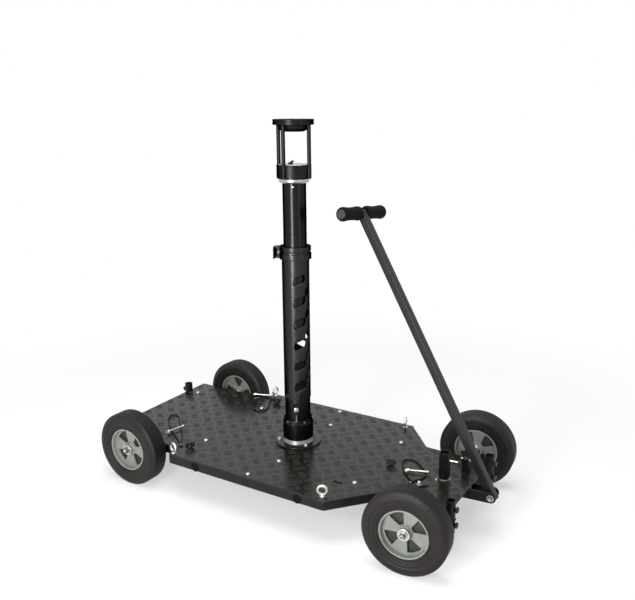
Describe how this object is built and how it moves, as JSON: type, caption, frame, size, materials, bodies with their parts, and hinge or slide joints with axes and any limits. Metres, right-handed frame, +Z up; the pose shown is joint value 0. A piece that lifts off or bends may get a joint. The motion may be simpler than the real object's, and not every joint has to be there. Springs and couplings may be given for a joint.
{
  "type": "camera dolly",
  "caption": "Tread plate platform dolly on solid tyred wheels with a pull handle that steers the nose wheels and a telescoping slotted camera mast with an open bowl head.",
  "frame": {"origin": "on the ground under the middle of the part's box; the mast axis stands 23 mm towards the tail from it", "axes": "+X towards the nose, where the handle and the steered wheels are; +Y towards the far side; +Z up"},
  "size_m": [1.398, 0.7028, 1.244],
  "materials": {
    "tread_black": "satin black paint on raised tread plate",
    "powder_black": "fine black powder coat",
    "anodised_black": "satin black anodising",
    "zinc": "bright zinc plate",
    "bright_aluminium": "fine turned",
    "handle_grey": "satin dark grey paint",
    "tyre_rubber": "matt dark rubber",
    "rim_grey": "grey paint on cast rim",
    "foam": "matt foam rubber",
    "knob_plastic": "matt moulded plastic",
    "cord_cover": "black sleeve on wire rope"
  },
  "bodies": {
    "deck": {"deck_plate": "tread_black", "deck_frame": "powder_black", "eye_bolt_tail_near": "zinc", "eye_bolt_tail_far": "zinc", "eye_bolt_nose_near": "zinc", "eye_bolt_nose_far": "zinc", "tail_axle": "zinc", "axle_arm_near": "powder_black", "axle_arm_far": "powder_black", "steer_beam": "powder_black", "latch_block": "powder_black", "mast_flange": "anodised_black", "base_ring": "bright_aluminium", "base_collar": "anodised_black", "mast_neck": "anodised_black", "mast_tube": "anodised_black", "clamp_collar": "anodised_black", "pin_tail_near": "zinc", "pin_tail_far": "zinc", "pin_nose": "zinc", "cord_tail_near": "cord_cover", "cord_tail_far": "cord_cover", "cord_nose": "cord_cover"},
    "wheel_tail_near": {"tyre_tail_near": "tyre_rubber", "rim_tail_near": "rim_grey"},
    "wheel_tail_far": {"tyre_tail_far": "tyre_rubber", "rim_tail_far": "rim_grey"},
    "wheel_nose_near": {"tyre_nose_near": "tyre_rubber", "rim_nose_near": "rim_grey"},
    "wheel_nose_far": {"tyre_nose_far": "tyre_rubber", "rim_nose_far": "rim_grey"},
    "stub_near": {"knuckle_near": "powder_black"},
    "stub_far": {"knuckle_far": "powder_black"},
    "steering": {"drawbar": "powder_black", "steer_post": "powder_black"},
    "track_rod": {"tie_rod": "zinc"},
    "pull_handle": {"handle": "handle_grey", "grip_near": "foam", "grip_far": "foam", "pivot_bolt": "zinc"},
    "post_cross_pin": {"post_pin": "zinc"},
    "column": {"inner_tube": "anodised_black", "head_ring": "bright_aluminium", "head_disc": "bright_aluminium", "head_cage": "anodised_black", "bowl_plate": "anodised_black"},
    "column_lever": {"head_lever": "knob_plastic"},
    "mast_lever": {"clamp_lever": "anodised_black"},
    "mast_lock_pin": {"mast_pin": "bright_aluminium"},
    "wing_tail_near": {"tail_knob_near": "knob_plastic"},
    "wing_tail_far": {"tail_knob_far": "knob_plastic"},
    "wing_nose": {"nose_knob": "knob_plastic"},
    "bar_clamp": {"steer_clamp": "powder_black"},
    "screw_tail_near": {"socket_knob_tail_near": "knob_plastic"},
    "screw_tail_far": {"socket_knob_tail_far": "knob_plastic"},
    "screw_nose_near_low": {"socket_knob_nose_near_low": "knob_plastic"},
    "screw_nose_near_high": {"socket_knob_nose_near_high": "knob_plastic"},
    "screw_nose_far_low": {"socket_knob_nose_far_low": "knob_plastic"},
    "screw_nose_far_high": {"socket_knob_nose_far_high": "knob_plastic"}
  },
  "joints": [
    {"name": "roll_tail_near", "type": "hinge", "parent": "deck", "child": "wheel_tail_near", "pos_m": [-0.51499, -0.3075, 0.13], "axis": [0, 1, 0], "continuous": true},
    {"name": "roll_tail_far", "type": "hinge", "parent": "deck", "child": "wheel_tail_far", "pos_m": [-0.51499, 0.3075, 0.13], "axis": [0, 1, 0], "continuous": true},
    {"name": "steer", "type": "hinge", "parent": "deck", "child": "steering", "pos_m": [0.52651, 0, 0.127], "axis": [0, 0, 1], "range_deg": [-33, 23]},
    {"name": "king_near", "type": "hinge", "parent": "deck", "child": "stub_near", "pos_m": [0.53401, -0.227, 0.11], "axis": [0, 0, 1], "range_deg": [-33.5, 23.5]},
    {"name": "king_far", "type": "hinge", "parent": "deck", "child": "stub_far", "pos_m": [0.53401, 0.227, 0.11], "axis": [0, 0, 1], "range_deg": [-33.5, 23.5]},
    {"name": "track", "type": "hinge", "parent": "steering", "child": "track_rod", "pos_m": [0.46676, -0.00549, 0.08], "axis": [0, 0, 1], "range_deg": [-23.5, 33.5]},
    {"name": "roll_nose_near", "type": "hinge", "parent": "stub_near", "child": "wheel_nose_near", "pos_m": [0.54087, -0.30168, 0.13], "axis": [-0.0915, 0.9958, 0], "continuous": true},
    {"name": "roll_nose_far", "type": "hinge", "parent": "stub_far", "child": "wheel_nose_far", "pos_m": [0.52714, 0.30168, 0.13], "axis": [-0.0915, 0.9958, 0], "continuous": true},
    {"name": "handle_tilt", "type": "hinge", "parent": "steering", "child": "pull_handle", "pos_m": [0.67936, 0.01405, 0.127], "axis": [-0.0915, 0.9958, 0], "range_deg": [-9, 104]},
    {"name": "post_pin_pull", "type": "slide", "parent": "steering", "child": "post_cross_pin", "axis": [0.9958, 0.0915, 0], "range_m": [0, 0.01]},
    {"name": "column_lift", "type": "slide", "parent": "deck", "child": "column", "axis": [0, 0, 1], "range_m": [-0.195, 0.2]},
    {"name": "head_lever_turn", "type": "hinge", "parent": "column", "child": "column_lever", "pos_m": [-0.03099, -0.008, 1.11], "axis": [0, 0, 1], "range_deg": [-40, 40]},
    {"name": "clamp_lever_turn", "type": "hinge", "parent": "deck", "child": "mast_lever", "pos_m": [-0.08234, -0.03024, 0.821], "axis": [0, 0, 1], "range_deg": [-110, 0]},
    {"name": "mast_pin_pull", "type": "slide", "parent": "deck", "child": "mast_lock_pin", "axis": [0.4695, -0.8829, 0], "range_m": [0, 0.012]},
    {"name": "wing_tail_near_turn", "type": "hinge", "parent": "deck", "child": "wing_tail_near", "pos_m": [-0.30899, -0.243, 0.16], "axis": [0, 0, 1], "continuous": true},
    {"name": "wing_tail_far_turn", "type": "hinge", "parent": "deck", "child": "wing_tail_far", "pos_m": [-0.27899, 0.233, 0.16], "axis": [0, 0, 1], "continuous": true},
    {"name": "wing_nose_turn", "type": "hinge", "parent": "deck", "child": "wing_nose", "pos_m": [0.34201, -0.004, 0.16], "axis": [0, 0, 1], "continuous": true},
    {"name": "bar_clamp_turn", "type": "hinge", "parent": "deck", "child": "bar_clamp", "pos_m": [0.48501, -0.099, 0.155], "axis": [0, 0, 1], "continuous": true},
    {"name": "screw_tail_near_turn", "type": "hinge", "parent": "deck", "child": "screw_tail_near", "pos_m": [-0.69, -0.1665, 0.153], "axis": [1, 0, 0], "continuous": true},
    {"name": "screw_tail_far_turn", "type": "hinge", "parent": "deck", "child": "screw_tail_far", "pos_m": [-0.69, 0.1665, 0.153], "axis": [1, 0, 0], "continuous": true},
    {"name": "screw_nose_near_low_turn", "type": "hinge", "parent": "deck", "child": "screw_nose_near_low", "pos_m": [0.632, -0.1665, 0.103], "axis": [1, 0, 0], "continuous": true},
    {"name": "screw_nose_near_high_turn", "type": "hinge", "parent": "deck", "child": "screw_nose_near_high", "pos_m": [0.632, -0.1665, 0.153], "axis": [1, 0, 0], "continuous": true},
    {"name": "screw_nose_far_low_turn", "type": "hinge", "parent": "deck", "child": "screw_nose_far_low", "pos_m": [0.632, 0.1665, 0.103], "axis": [1, 0, 0], "continuous": true},
    {"name": "screw_nose_far_high_turn", "type": "hinge", "parent": "deck", "child": "screw_nose_far_high", "pos_m": [0.632, 0.1665, 0.153], "axis": [1, 0, 0], "continuous": true}
  ],
  "couplings": [
    {"joint": "king_near", "follows": "steer", "ratio": 1},
    {"joint": "king_far", "follows": "steer", "ratio": 1},
    {"joint": "track", "follows": "steer", "ratio": -1}
  ]
}
